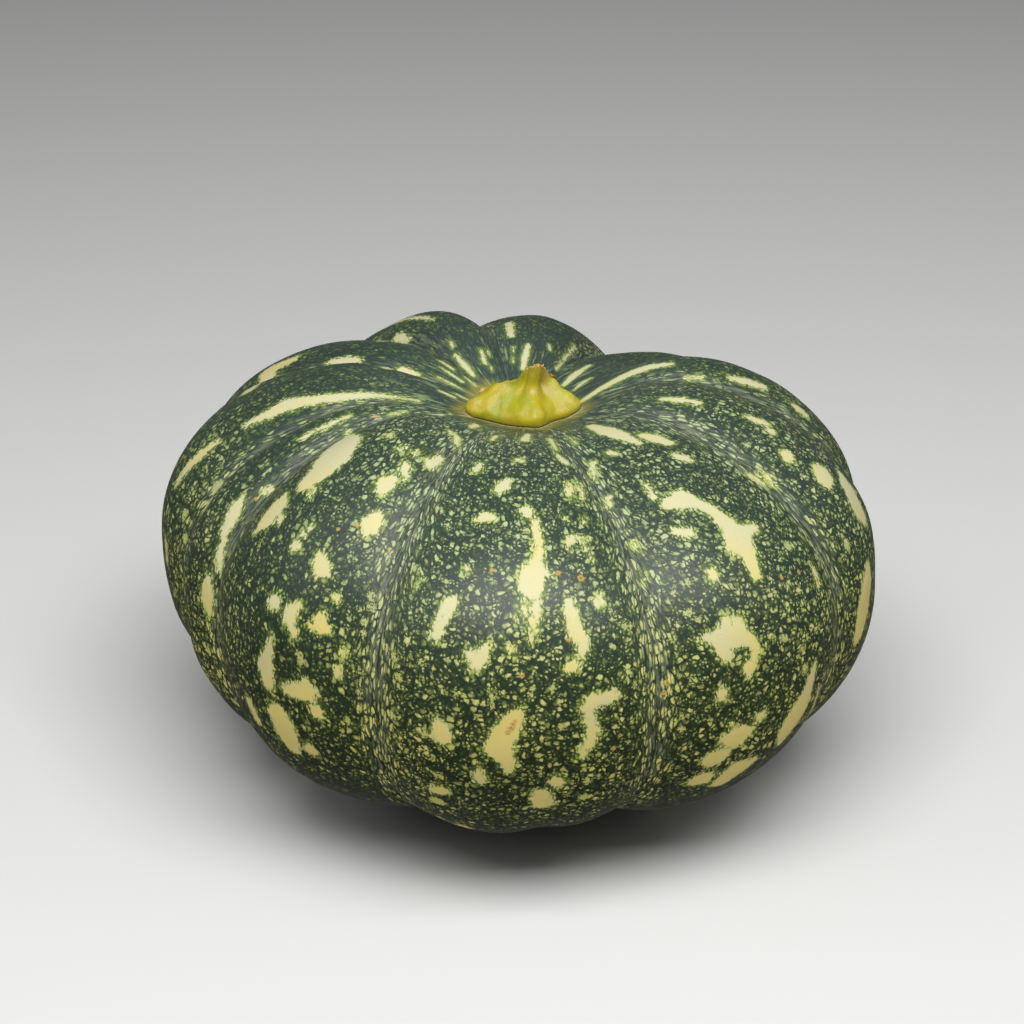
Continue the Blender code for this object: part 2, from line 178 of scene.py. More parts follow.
# Cream marks on the side that the photo shows, lobe by lobe. Each is a run of points along its
# middle: column, row and width in pixels of the photo.
SEEN_MARKS = {
    "front": (
        ((526, 511, 11), (529, 516, 8)),
        ((470, 427, 2), (477, 425, 3)),
        ((492, 440, 2), (496, 436, 2)),
        ((525, 440, 6), (528, 434, 2)),
        ((550, 439, 2), (556, 450, 2)),
        ((559, 456, 3), (566, 463, 4)),
        ((518, 460, 4), (522, 461, 3)),
        ((565, 519, 5),),
        ((584, 517, 3), (585, 524, 3)),
        ((468, 566, 3), (465, 571, 4)),
        ((511, 649, 10),),
        ((420, 578, 3), (416, 588, 2)),
        ((535, 522, 8), (538, 540, 10), (538, 562, 12), (532, 576, 28), (531, 588, 24), (537, 597, 10)),
        ((541, 573, 14), (551, 574, 4)),
        ((537, 602, 9), (535, 618, 11), (533, 631, 10), (532, 642, 5)),
        ((525, 603, 5), (518, 620, 5)),
        ((508, 481, 6), (503, 486, 11), (498, 490, 8)),
        ((478, 520, 6), (486, 517, 10), (495, 518, 5)),
        ((480, 463, 4), (477, 470, 7)),
        ((569, 483, 5), (569, 491, 9), (568, 496, 6)),
        ((578, 481, 2), (581, 490, 4), (583, 502, 1)),
        ((567, 547, 4), (572, 540, 10), (577, 537, 7)),
        ((585, 538, 5),),
        ((583, 545, 4), (587, 550, 4), (590, 556, 3)),
        ((591, 560, 3),),
        ((450, 603, 16), (443, 617, 13), (435, 638, 11)),
        ((467, 652, 7), (478, 661, 18), (487, 647, 10)),
        ((478, 661, 18), (474, 668, 10)),
        ((570, 602, 9), (571, 612, 15), (573, 622, 16), (577, 636, 15), (584, 642, 14), (582, 655, 8)),
        ((569, 668, 11), (573, 666, 13)),
        ((600, 596, 7), (599, 602, 13)),
        ((438, 724, 12), (442, 735, 20)),
        ((521, 709, 6), (512, 722, 22), (503, 737, 26), (499, 748, 28), (506, 759, 17), (509, 770, 11)),
        ((485, 750, 5), (497, 747, 20)),
        ((616, 694, 9), (605, 699, 14), (592, 702, 15), (587, 707, 13), (590, 719, 12), (594, 731, 12),
         (588, 744, 12), (582, 755, 9)),
        ((479, 773, 12), (480, 780, 12)),
        ((434, 790, 7), (444, 791, 7)),
        ((541, 795, 20), (543, 803, 22)),
        ((557, 782, 13),),
    ),
    "left_1": (
        ((450, 432, 4),),
        ((405, 447, 4), (398, 451, 3)),
        ((429, 414, 2), (440, 415, 3), (451, 414, 1)),
        ((388, 415, 1), (399, 413, 2), (407, 411, 1)),
        ((349, 432, 3), (340, 447, 17), (333, 457, 19), (326, 466, 17), (317, 474, 15), (307, 483, 11),
         (300, 489, 3)),
        ((406, 463, 6), (405, 469, 12), (405, 478, 4)),
        ((430, 464, 11), (440, 459, 9)),
        ((457, 437, 6), (457, 444, 5)),
        ((392, 479, 10), (385, 485, 18), (382, 495, 6)),
        ((285, 495, 3), (277, 507, 11), (268, 518, 11), (256, 531, 3)),
        ((379, 512, 3), (376, 518, 15), (371, 525, 20), (366, 534, 8)),
        ((296, 546, 11),),
        ((280, 519, 8),),
        ((304, 534, 7),),
        ((311, 527, 5), (306, 530, 4)),
        ((313, 491, 4), (309, 496, 3)),
        ((271, 489, 6), (263, 492, 6)),
        ((390, 435, 5),),
        ((416, 453, 6),),
        ((320, 558, 13), (322, 569, 18)),
        ((274, 602, 15),),
        ((299, 604, 6), (291, 613, 15), (289, 620, 13)),
        ((292, 628, 7), (294, 634, 9)),
        ((323, 612, 5), (320, 624, 17)),
        ((310, 626, 6), (320, 628, 12), (329, 631, 6)),
        ((271, 638, 5), (268, 655, 10), (265, 665, 14), (268, 682, 11)),
        ((285, 689, 8), (296, 691, 16), (307, 692, 17), (316, 693, 8)),
        ((305, 681, 7), (304, 688, 13)),
        ((317, 712, 14),),
        ((278, 716, 15), (283, 726, 17), (288, 738, 13), (294, 749, 7)),
        ((311, 750, 11),),
        ((344, 653, 9),),
        ((338, 668, 8), (338, 676, 7)),
        ((337, 598, 8),),
        ((249, 701, 5), (257, 719, 5)),
    ),
    "left_2": (
        ((243, 497, 4), (235, 511, 13), (225, 532, 8)),
        ((224, 538, 4), (219, 556, 8), (219, 569, 5)),
        ((208, 578, 6), (207, 595, 12), (209, 614, 6)),
        ((300, 439, 3), (324, 427, 4), (350, 416, 3)),
    ),
    "left_3": (
        ((244, 426, 3), (267, 415, 8), (286, 405, 11), (309, 401, 9), (332, 398, 8), (355, 396, 7),
         (372, 395, 5), (401, 398, 2), (419, 401, 2)),
        ((176, 484, 3), (187, 468, 5), (200, 455, 6), (218, 441, 4)),
        ((166, 542, 4), (167, 560, 4)),
    ),
    "left_4": (
        ((250, 390, 7), (268, 371, 9), (292, 360, 6)),
        ((330, 362, 4), (345, 361, 6), (360, 361, 4)),
        ((386, 368, 4), (402, 371, 5), (419, 375, 3)),
        ((440, 361, 1), (453, 369, 2)),
        ((440, 367, 1), (452, 375, 2), (463, 382, 2)),
        ((465, 377, 1), (476, 386, 2)),
        ((438, 377, 1), (452, 384, 2), (463, 390, 1)),
        ((440, 391, 2), (454, 397, 2)),
        ((455, 393, 1), (462, 397, 2), (469, 400, 1)),
    ),
    "back_2": (
        ((383, 341, 5), (398, 337, 8), (409, 341, 5)),
        ((455, 355, 3), (463, 364, 6), (474, 376, 4)),
        ((481, 350, 3), (485, 363, 4)),
        ((488, 351, 2), (489, 356, 2)),
        ((491, 367, 2), (492, 371, 2)),
        ((450, 342, 3), (453, 347, 3)),
    ),
    "back_1": (
        ((509, 323, 8), (511, 336, 7)),
        ((528, 345, 5), (525, 357, 7), (523, 369, 5)),
        ((575, 346, 3), (566, 357, 3), (556, 369, 3)),
        ((513, 347, 2), (513, 353, 2)),
        ((513, 358, 2), (513, 363, 2)),
        ((549, 345, 2), (550, 350, 2)),
    ),
    "right_4": (
        ((590, 365, 2), (576, 374, 4), (564, 385, 3)),
        ((591, 378, 1), (581, 384, 2), (573, 391, 1)),
    ),
    "right_3": (
        ((580, 402, 3), (600, 389, 4), (622, 377, 5), (645, 368, 5), (671, 364, 3)),
        ((686, 378, 3), (702, 377, 3)),
        ((731, 378, 4), (748, 382, 6), (764, 387, 4)),
        ((797, 408, 5), (804, 413, 5)),
    ),
    "right_2": (
        ((661, 399, 3), (680, 400, 5), (699, 403, 3)),
        ((747, 417, 3), (758, 421, 5), (768, 424, 3)),
        ((771, 431, 7),),
        ((787, 456, 12),),
        ((823, 474, 13), (824, 478, 13)),
        ((843, 478, 7), (850, 491, 13), (856, 504, 14), (863, 516, 8)),
        ((868, 572, 8), (867, 590, 15), (864, 608, 17), (860, 628, 13)),
    ),
    "right_1": (
        ((568, 437, 1), (577, 444, 2)),
        ((609, 452, 4), (615, 454, 4)),
        ((632, 543, 4), (638, 550, 3)),
        ((643, 573, 4), (646, 581, 3)),
        ((591, 426, 4), (607, 431, 8), (622, 436, 8), (638, 443, 4)),
        ((645, 436, 6), (656, 439, 8), (669, 443, 5)),
        ((677, 456, 6), (687, 459, 6)),
        ((592, 463, 6), (595, 477, 6)),
        ((608, 498, 7), (609, 507, 6)),
        ((646, 484, 5), (654, 497, 6)),
        ((666, 505, 9), (682, 500, 20), (700, 504, 9), (716, 514, 11), (728, 525, 14), (738, 537, 23),
         (747, 552, 16), (756, 575, 9)),
        ((738, 535, 20), (754, 527, 9)),
        ((676, 531, 8), (688, 533, 10)),
        ((727, 532, 8), (731, 549, 10)),
        ((698, 641, 4), (712, 637, 12), (726, 638, 25), (738, 636, 24), (750, 640, 14)),
        ((726, 619, 9), (727, 632, 18)),
        ((739, 620, 10), (738, 632, 16)),
        ((720, 646, 14), (728, 657, 12)),
        ((754, 642, 9), (757, 652, 9), (753, 661, 6)),
        ((750, 667, 14), (749, 674, 7)),
        ((722, 695, 15),),
        ((761, 716, 10),),
        ((728, 739, 12), (737, 737, 18), (750, 731, 7)),
        ((705, 760, 6), (714, 759, 14), (724, 754, 9)),
        ((814, 666, 4), (811, 680, 6), (806, 695, 9), (798, 712, 14), (789, 727, 13), (782, 740, 6)),
        ((751, 762, 6), (735, 771, 12), (722, 781, 9)),
        ((694, 782, 7), (702, 779, 10), (708, 776, 7)),
        ((712, 572, 10), (713, 578, 10)),
        ((814, 570, 4), (818, 583, 4)),
        ((749, 475, 3), (756, 479, 4), (763, 484, 3)),
        ((761, 472, 3), (768, 478, 5), (774, 485, 4)),
    ),
}
PIXELS_PER_METRE = 3000.0

# The largest single flecks on that side: column, row and width in pixels
SEEN_FLECKS = (
    (674, 640, 8), (658, 655, 7), (693, 681, 9), (681, 716, 9), (681, 729, 8), (803, 649, 7),
    (805, 668, 8), (783, 638, 8), (688, 613, 11), (688, 582, 9), (674, 593, 8), (788, 585, 7),
    (774, 592, 7), (799, 590, 7), (552, 688, 9), (527, 656, 8), (562, 726, 10), (448, 727, 9),
    (424, 733, 10), (431, 758, 8), (439, 776, 9), (491, 706, 8), (492, 697, 9), (478, 717, 8),
    (421, 662, 8), (398, 677, 10), (396, 658, 8), (387, 649, 7), (371, 608, 10), (373, 595, 9),
    (364, 622, 8), (624, 626, 9), (612, 611, 8), (630, 674, 7), (587, 781, 9), (584, 797, 9),
    (437, 801, 9), (457, 694, 9), (493, 581, 8), (185, 514, 8), (185, 538, 8), (218, 488, 7),
    (299, 654, 9), (358, 573, 8), (336, 597, 12), (370, 596, 9), (376, 607, 7), (363, 633, 7),
    (361, 672, 8), (302, 660, 8), (346, 652, 9), (341, 659, 8), (367, 667, 7), (360, 692, 8),
    (347, 720, 9), (365, 728, 8), (326, 545, 7), (351, 557, 7), (389, 555, 7), (416, 566, 7),
    (788, 546, 9), (847, 545, 9),
)

# Tiny corky scabs on that side: column, row and radius in pixels
SEEN_SCABS = (
    (515, 721, 2.0), (513, 724, 2.5), (511, 728, 2.8), (508, 732, 2.3), (558, 573, 2.4),
    (581, 578, 3.2), (492, 570, 2.0), (522, 676, 2.2), (614, 748, 2.2), (569, 640, 1.8),
    (799, 572, 2.2), (782, 578, 1.8), (795, 447, 1.8), (667, 683, 2.8), (664, 693, 2.4),
    (357, 525, 2.2), (375, 416, 2.2), (256, 499, 2.0), (389, 549, 1.4), (338, 529, 1.8),
)

# Marks on the sides that the photo doesn't show: how many are tried, how far apart they stay, and
# the range of their widths, of the cosine of their middle's polar angle and of their ends' polar
# angles. Each kind has the upper end of its share of the draws, its length down the lobe in
# radians, its width's factor and its points.
SEED = 41
UNSEEN_TRIES = 170
UNSEEN_CLEARANCE = 7.0 * MM
UNSEEN_WIDTHS = (1.6 * MM, 4.2 * MM)
UNSEEN_COSINES = (-0.86, 0.80)
UNSEEN_POLARS = (0.25, 2.75)
UNSEEN_KINDS = ((0.55, 0.02, 1.0, 2), (0.88, 0.16, 1.0, 6), (1.0, 0.42, 0.55, 6))
UNSEEN_WANDER = 0.012
LEAST_HALF_WIDTH = 0.6 * MM
FACING_LIMIT = 0.10

# Depth inside a mark is kept between these, and a mark's half width on the skin grows to at most
# this many times its plain size
MARK_REACH = (-9.0 * MM, 5.0 * MM)
MOST_STRETCH = 2.5

# Lights: name, azimuth, elevation (degrees), distance, width and depth (metres), watts and colour
LIGHTS = (
    ("overhead", 6, 63, 1.1, 1.2, 0.6, 19.0, (1, 1, 1)),
    ("left_fill", -75, 35, 1.8, 1.0, 1.0, 4.0, (0.95, 0.98, 1)),
    ("right_fill", 80, 35, 1.8, 1.0, 1.0, 3.0, (0.95, 0.98, 1)),
)
WORLD_STRENGTH = 0.13
FLOOR_HALF = 6.0

FURROWS = np.radians([start for _, start, _, _, _ in LOBES])
NEXT_FURROWS = np.append(FURROWS[1:], FURROWS[0] + 2 * math.pi)
MIDDLES = (FURROWS + NEXT_FURROWS) / 2
HALF_ANGLES = (NEXT_FURROWS - FURROWS) / 2
REACHES = np.array([reach for _, _, reach, _, _ in LOBES]) * MM
SHOULDERS = np.array([shoulder for _, _, _, shoulder, _ in LOBES]) * MM
DEPTHS = np.array([depth for _, _, _, _, depth in LOBES]) * MM


def size(name, description, default):
    return FloatProperty(
        name=name, description=description, default=default, unit="LENGTH", precision=4
    )


def colour(name, description, default):
    return FloatVectorProperty(
        name=name, description=description, default=default, subtype="COLOR", size=3, min=0, max=1
    )


class PumpkinSizes(PropertyGroup):
    """Sizes of the rind's and the stem's fine detail."""

    fleck: size("Fleck size", "Usual distance between pale flecks", 2.4 * MM)
    small_fleck: size("Small fleck size", "Distance between the flecks that fill the gaps", 1.15 * MM)
    long_fleck: size("Long fleck width", "Distance between the long flecks by the furrows", 1.5 * MM)
    vein: size("Vein spacing", "Usual distance between the dark branching veins", 7.5 * MM)
    ripple: size("Ripple height", "How far the skin waves in and out", 0.30 * MM)
    stem_lump: size("Stem lump height", "How far the stem's foot is lumpy", 0.45 * MM)
    fringe: size("Mark fringe", "How far the feathered edge of a cream mark wanders", 0.9 * MM)
    halo: size("Halo width", "Width of the lime rim round a cream mark", 1.5 * MM)
    grain: size("Grain size", "Size of the fine grain that breaks up the gloss", 0.5 * MM)


class PumpkinColours(PropertyGroup):
    """Colours of the rind and the stem, as linear values."""

    # The upper net is lighter and bluer, partly the rind's own tone and partly painted sheen; the lower net
    # is darker, partly the rind's own tone and partly painted shade.
    ground_high: colour("Upper ground", "Net colour on the upper half", (0.016, 0.031, 0.026))
    ground_low: colour("Lower ground", "Net colour on the lower half", (0.009, 0.018, 0.004))
    fleck_dull: colour("Dull fleck", "Colour of the dimmest flecks", (0.074, 0.112, 0.018))
    fleck_bright: colour("Bright fleck", "Brightest flecks on the upper half", (0.41, 0.47, 0.24))
    fleck_warm: colour("Warm fleck", "Brightest flecks on the lower half", (0.58, 0.53, 0.13))
    lime: colour("Lime rim", "Rim of the cream marks", (0.26, 0.36, 0.035))
    cream: colour("Cream mark", "Marks on the upper half", (0.52, 0.49, 0.29))
    yolk: colour("Yellow mark", "Marks on the lower half and their middles", (0.62, 0.50, 0.14))
    haze: colour("Furrow haze", "Greyish strands along the furrows", (0.22, 0.23, 0.16))
    # A grey-blue tint on the upper half, strongest near the stem: partly the rind's own wax bloom and
    # partly painted sheen.
    bloom_and_sheen: colour("Bloom", "Grey-blue wax on the shoulders", (0.060, 0.090, 0.095))
    scab: colour("Scab", "Tiny corky scabs", (0.52, 0.31, 0.07))
    scar: colour("Blossom scar", "Corky disc underneath", (0.22, 0.15, 0.075))
    collar: colour("Collar", "Olive skin round the foot of the stem", (0.30, 0.27, 0.045))
    cork: colour("Cork", "Thin corky rim right at the foot of the stem", (0.40, 0.35, 0.20))
    stem: colour("Stem", "Body of the stem", (0.37, 0.31, 0.012))
    stem_green: colour("Stem green", "Greener patches of the stem", (0.21, 0.28, 0.010))
    stem_pale: colour("Stem pale", "Worn corners and ridges of the stem", (0.42, 0.38, 0.045))
    stem_tan: colour("Stem tan", "Pinkish tan flesh in patches and on the torn top", (0.43, 0.31, 0.09))
    stem_torn: colour("Torn stem", "Brown fibres at the stem's top", (0.30, 0.16, 0.012))
    floor: colour("Floor", "Plain floor under the pumpkin", (0.62, 0.62, 0.61))


def ramp(value, low, high):
    """0 below low, 1 above high, and an S curve between."""
    t = np.clip((value - low) / (high - low), 0, 1)
    return t * t * (3 - 2 * t)


def bell(value):
    """1 at 0, falling off to both sides like a bell."""
    return np.exp(-(value**2))


def round_blend(azimuth, places, values):
    """A smooth value round the fruit that passes close to each lobe's or furrow's own value."""
    weights = np.exp(BLEND_SHARPNESS * (np.cos(azimuth[..., None] - places) - 1))
    return (weights * values).sum(-1) / weights.sum(-1)


def across_lobe(azimuth):
    """Each point's lobe, and 0 at the furrow before it to 1 at the furrow after it."""
    turned = np.mod(azimuth - FURROWS[0], 2 * math.pi) + FURROWS[0]
    lobe = np.searchsorted(FURROWS, turned, side="right") - 1
    return lobe, (turned - FURROWS[lobe]) / (NEXT_FURROWS - FURROWS)[lobe]


def turned_from(azimuth, middle):
    """Angle from the middle, between minus and plus half a turn."""
    return np.mod(azimuth - middle + math.pi, 2 * math.pi) - math.pi


def press_in(azimuth, polar, radius):
    """How deep the furrows and the front crease are pressed in: a furrow is deepest where the
    sine arch across its lobe is 0, and fades out towards the stem and the scar."""
    _, across = across_lobe(azimuth)
    arch = np.sqrt(np.sin(math.pi * across) ** 2 + FURROW_ROUNDING**2)
    bulge = (arch - FURROW_ROUNDING) ** LOBE_ROUNDNESS
    fade = ramp(radius, FURROW_START, FURROW_FULL)
    furrow = round_blend(azimuth, FURROWS, DEPTHS) * (1 - bulge)
    crease = CREASE_DEPTH * bell(turned_from(azimuth, CREASE_AZIMUTH) / CREASE_WIDTH)
    return (furrow + crease * ramp(polar, CREASE_START, CREASE_FULL)) * fade


def fruit_profile(azimuth, polar):
    """Radius from the stem's axis and height. Polar runs from 0 at the crown to pi: radius is a
    power of its sine and height a power of its cosine, less a bell-shaped pit at each end, and
    the furrows are pressed in along a slanted normal."""
    sine, cosine = np.abs(np.sin(polar)), np.cos(polar)
    lean = np.abs(cosine)
    upper = cosine >= 0
    reach = round_blend(azimuth, MIDDLES, REACHES)
    radius = reach * np.where(upper, sine**UPPER_REACH_POWER, sine**LOWER_REACH_POWER)
    shoulder = round_blend(azimuth, MIDDLES, SHOULDERS)
    shoulder = shoulder * ramp(radius, SHOULDER_START, SHOULDER_FULL)
    crown = (CROWN_RISE + shoulder) * lean**UPPER_RISE_POWER
    crown = crown - PIT_DEPTH * bell(radius / PIT_WIDTH)
    base = HOLLOW_DEPTH * bell(radius / HOLLOW_WIDTH)
    base = base - BASE_DROP * lean**LOWER_DROP_POWER
    height = EQUATOR_HEIGHT + np.where(upper, crown, base)
    cut = press_in(azimuth, polar, radius)
    slope = np.hypot(sine * SLANT, cosine)
    radius = radius - cut * sine * SLANT / slope
    height = height - cut * cosine / slope
    scar = 1 - ramp(radius, SCAR_RADIUS, SCAR_RADIUS + SCAR_EDGE)
    height = np.where(upper, height, height * (1 - scar) - SCAR_SINK * scar)
    return radius, np.maximum(height, 0)


def skin_height(azimuth, radius):
    """Height of the fruit's skin in the stem pit, found by stepping the polar angle."""
    reach = round_blend(azimuth, MIDDLES, REACHES)
    polar = np.arcsin(radius / reach)
    for _ in range(6):
        found, height = fruit_profile(azimuth, polar)
        polar = polar + (radius - found) / reach
    return height


def place(azimuth, radius, height):
    """Points from cylindrical coordinates about the stem's axis."""
    x = STEM_AXIS[0] + radius * np.sin(azimuth)
    y = STEM_AXIS[1] - radius * np.cos(azimuth)
    return np.stack([x, y, height], axis=-1)


def waves(points, shortest, longest, count, seed):
    """Soft lumps between -1 and 1: the mean of plane cosine waves with random directions."""
    draw = np.random.default_rng(seed)
    ways = draw.normal(size=(count, 3))
    ways /= np.linalg.norm(ways, axis=1, keepdims=True)
    lengths = draw.uniform(shortest, longest, count)
    phases = draw.uniform(0, 2 * math.pi, count)
    total = np.cos(points @ (ways * (2 * math.pi / lengths)[:, None]).T + phases)
    return np.clip(total.sum(-1) / math.sqrt(count), -1, 1)


def ring_faces(rows, columns):
    """Four-cornered faces between rings of points and a fan of triangles at each end, where the
    two end points come last. Seen from outside, each face runs down, right and up."""
    row, column = np.meshgrid(np.arange(rows - 1), np.arange(columns), indexing="ij")
    right = (column + 1) % columns
    low = row + 1
    corners = [(row, column), (low, column), (low, right), (row, right)]
    squares = np.stack([down * columns + across for down, across in corners], axis=-1).reshape(-1, 4)
    here, there = np.arange(columns), (np.arange(columns) + 1) % columns
    top, bottom = np.full(columns, rows * columns), np.full(columns, rows * columns + 1)
    last = (rows - 1) * columns
    lid = np.stack([top, here, there], axis=-1)
    underside = np.stack([bottom, last + there, last + here], axis=-1)
    return squares, lid, underside


def closed_mesh(name, rings, top, bottom):
    """A smooth mesh of rings of points, shape (rows, columns, 3), closed by a point at each end."""
    rows, columns = rings.shape[:2]
    points = np.concatenate([rings.reshape(-1, 3), [top, bottom]])
    squares, lid, underside = ring_faces(rows, columns)
    mesh = bpy.data.meshes.new(name)
    mesh.from_pydata(points.tolist(), [], squares.tolist() + lid.tolist() + underside.tolist())
    mesh.shade_smooth()
    return mesh


def add_values(mesh, name, values):
    """Keeps one number for each point of the mesh."""
    layer = mesh.attributes.new(name, "FLOAT", "POINT")
    layer.data.foreach_set("value", np.ascontiguousarray(values, dtype=np.float32))


def fruit_columns():
    """Lobe and place across it, from -1 to 1, for both sides of every column of faces."""
    step = np.arange(LOBE_STEPS * len(LOBES))
    lobe = step // LOBE_STEPS
    left = (step % LOBE_STEPS) / LOBE_STEPS
    right = left + 1 / LOBE_STEPS
    return lobe, 2 * left - 1, 2 * right - 1


def fruit_rings(ripple):
    """Rings of the fruit's skin. The ripple moves the skin along a ray from the fruit's middle."""
    lobe, across, _ = fruit_columns()
    azimuth = MIDDLES[lobe] + across * HALF_ANGLES[lobe]
    fall = np.arange(1, FRUIT_RINGS) / FRUIT_RINGS
    polar = math.pi * fall - POLE_CROWDING * np.sin(2 * math.pi * fall) / 2
    azimuth, polar = np.meshgrid(azimuth, polar)
    radius, height = fruit_profile(azimuth, polar)
    points = place(azimuth, radius, height)
    ray = points - np.array([*STEM_AXIS, EQUATOR_HEIGHT])
    ray /= np.linalg.norm(ray, axis=-1, keepdims=True)
    sway = ripple * waves(points, *SKIN_WAVES, SEED)
    sway = sway * ramp(radius, *SKIN_WAVES_RADIUS) * ramp(height, *SKIN_WAVES_HEIGHT)
    return azimuth, radius, points + ray * sway[..., None]


def pattern_map(radius, rings):
    """Places on the pattern, in metres, for the corners of every face. Downwards it is the mean
    length of skin from the stem. Across a lobe it is the angle from the lobe's middle times a
    radius that never falls under PATTERN_WAIST, and more at the furrows."""
    lobe, left, right = fruit_columns()
    steps = np.linalg.norm(np.diff(rings, axis=0), axis=-1).mean(axis=1)
    mean_radius = radius.mean(axis=1)
    down = np.concatenate([[mean_radius[0]], mean_radius[0] + np.cumsum(steps)])
    widest = mean_radius.max()
    reach = np.hypot(mean_radius, PATTERN_WAIST) * widest / math.hypot(widest, PATTERN_WAIST)

    def across(side, reach):
        pinched = side + FURROW_PULL * np.sign(side) * np.abs(side) ** FURROW_PINCH
        return reach * HALF_ANGLES[lobe] * pinched + lobe * PATTERN_STEP

    high, low = reach[:-1, None], reach[1:, None]
    corners = [(left, high), (left, low), (right, low), (right, high)]
    squares = np.stack([across(side, reach) for side, reach in corners], -1)
    heights = np.stack([down[:-1], down[1:], down[1:], down[:-1]], -1)[:, None, :]
    squares = np.stack([squares, np.broadcast_to(heights, squares.shape)], -1)
    middle = (left + right) / 2
    lid = np.stack([across(middle, reach[0]), across(left, reach[0]), across(right, reach[0])], -1)
    lid = np.stack([lid, np.broadcast_to([0, down[0], down[0]], lid.shape)], -1)
    end = down[-1] + mean_radius[-1]
    under = np.stack([across(middle, reach[-1]), across(right, reach[-1]), across(left, reach[-1])], -1)
    under = np.stack([under, np.broadcast_to([end, down[-1], down[-1]], under.shape)], -1)
    return np.concatenate([squares.reshape(-1, 2), lid.reshape(-1, 2), under.reshape(-1, 2)])


def camera_pose():
    """Where the photo's camera stands, and how it is turned."""
    back = CAMERA_DISTANCE * math.cos(CAMERA_ELEVATION)
    rise = CAMERA_DISTANCE * math.sin(CAMERA_ELEVATION)
    return Vector((0, -back, CAMERA_AIM_HEIGHT + rise)), Euler((CAMERA_TILT, 0, CAMERA_TURN))


def cast(skin, column, row):
    """The point of the skin under this pixel of the photo, or None beside the fruit."""
    origin, turn = camera_pose()
    across = (column - PHOTO_SIZE / 2) / FOCAL_PIXELS
    up = (PHOTO_SIZE / 2 - row) / FOCAL_PIXELS
    way = turn.to_matrix() @ Vector((across, up, -1)).normalized()
    return skin.ray_cast(origin, way)[0]


def cast_mark(skin, mark):
    """A mark of the photo as points on the skin with half widths. A half width is the mean
    distance on the skin from the point to those under the mark's two edges."""
    found = []
    for index, (column, row, width) in enumerate(mark):
        middle = cast(skin, column, row)
        if middle is None:
            raise RuntimeError(f"the mark at {column}, {row} misses the fruit")
        before, after = mark[max(index - 1, 0)], mark[min(index + 1, len(mark) - 1)]
        along = np.array([after[0] - before[0], after[1] - before[1]], dtype=float)
        if len(mark) == 1:
            along = np.array([1.0, 0.0])
        side = np.array([-along[1], along[0]]) * width / 2 / np.linalg.norm(along)
        offsets = [side, -side] if len(mark) > 1 else [side, -side, side[::-1], -side[::-1]]
        edges = [cast(skin, column + dx, row + dy) for dx, dy in offsets]
        reaches = [(edge - middle).length for edge in edges if edge is not None]
        plain = width / 2 / PIXELS_PER_METRE
        half = min(np.mean(reaches), MOST_STRETCH * plain) if reaches else plain
        found.append((*middle, half))
    return np.array(found)


def unseen_marks(skin_points, facing, seen):
    """Marks for the sides away from the camera: dots, bars and long streaks down the lobes."""
    draw = np.random.default_rng(SEED)
    taken = [point[:3] for mark in seen for point in mark]
    marks = []
    for _ in range(UNSEEN_TRIES):
        azimuth = draw.uniform(0, 2 * math.pi)
        polar = math.acos(draw.uniform(*UNSEEN_COSINES))
        chance, wander = draw.random(), draw.normal(size=6)
        width = draw.uniform(*UNSEEN_WIDTHS)
        middle_azimuth, middle_polar = np.array([azimuth]), np.array([polar])
        centre = place(middle_azimuth, *fruit_profile(middle_azimuth, middle_polar))[0]
        nearest = np.argmin(((skin_points - centre) ** 2).sum(-1))
        crowded = min(np.linalg.norm(centre - other) for other in taken) < UNSEEN_CLEARANCE
        if facing[nearest] > FACING_LIMIT or crowded:
            continue
        length, narrow, count = next(kind[1:] for kind in UNSEEN_KINDS if chance < kind[0])
        along, wander = np.linspace(-0.5, 0.5, count), wander[:count]
        polars = np.clip(polar + along * length, *UNSEEN_POLARS)
        azimuths = azimuth + UNSEEN_WANDER * np.cumsum(wander)
        points = place(azimuths, *fruit_profile(azimuths, polars))
        halves = width * narrow * (0.45 + 0.55 * np.cos(math.pi * along) * (0.8 + 0.2 * wander))
        marks.append(np.column_stack([points, np.maximum(halves, LEAST_HALF_WIDTH)]))
        taken.extend(points)
    return marks


def mark_depth(points, marks):
    """How far inside the nearest mark each point is: the half width less the distance to the
    mark's middle line, which is negative outside."""
    depth = np.full(len(points), MARK_REACH[0])
    for mark in marks:
        ends = mark[1:] if len(mark) > 1 else mark
        for (*start, start_half), (*end, end_half) in zip(mark, ends):
            start, run = np.array(start), np.array(end) - np.array(start)
            span = max(run @ run, 1e-12)
            part = np.clip(((points - start) @ run) / span, 0, 1)
            away = np.linalg.norm(points - start - part[:, None] * run, axis=1)
            depth = np.maximum(depth, start_half + part * (end_half - start_half) - away)
    return np.minimum(depth, MARK_REACH[1])


def furrow_distance(azimuth, radius):
    """Distance from each point to its nearest furrow, measured round the fruit."""
    lobe, across = across_lobe(azimuth)
    return radius * 2 * HALF_ANGLES[lobe] * np.minimum(across, 1 - across)


def foot_radius(azimuth):
    """Outline of the stem's foot: a round waist with one rounded peak at each corner."""
    corners = np.array([corner[1] for corner in FOOT_CORNERS]) * MM
    return FOOT_WAIST + corner_sum(azimuth, corners - FOOT_WAIST)


def corner_sum(azimuth, values):
    """One rounded peak of the given height at each corner of the foot."""
    places = np.radians([corner[0] for corner in FOOT_CORNERS])
    peaks = np.exp(CORNER_SHARPNESS * (np.cos(azimuth[..., None] - places) - 1))
    return (peaks * values).sum(-1)


def neck_radius(azimuth, down):
    """The neck's radius: round, with a ridge at each corner, less bell-shaped grooves that fade
    out towards the foot."""
    neck = NECK_RADIUS + corner_sum(azimuth, np.full(len(FOOT_CORNERS), NECK_RIDGE))
    for middle, width, depth in GROOVES:
        groove = bell(turned_from(azimuth, math.radians(middle)) / math.radians(width))
        neck = neck - depth * MM * groove * (1 - ramp(down, *GROOVE_END))
    return neck


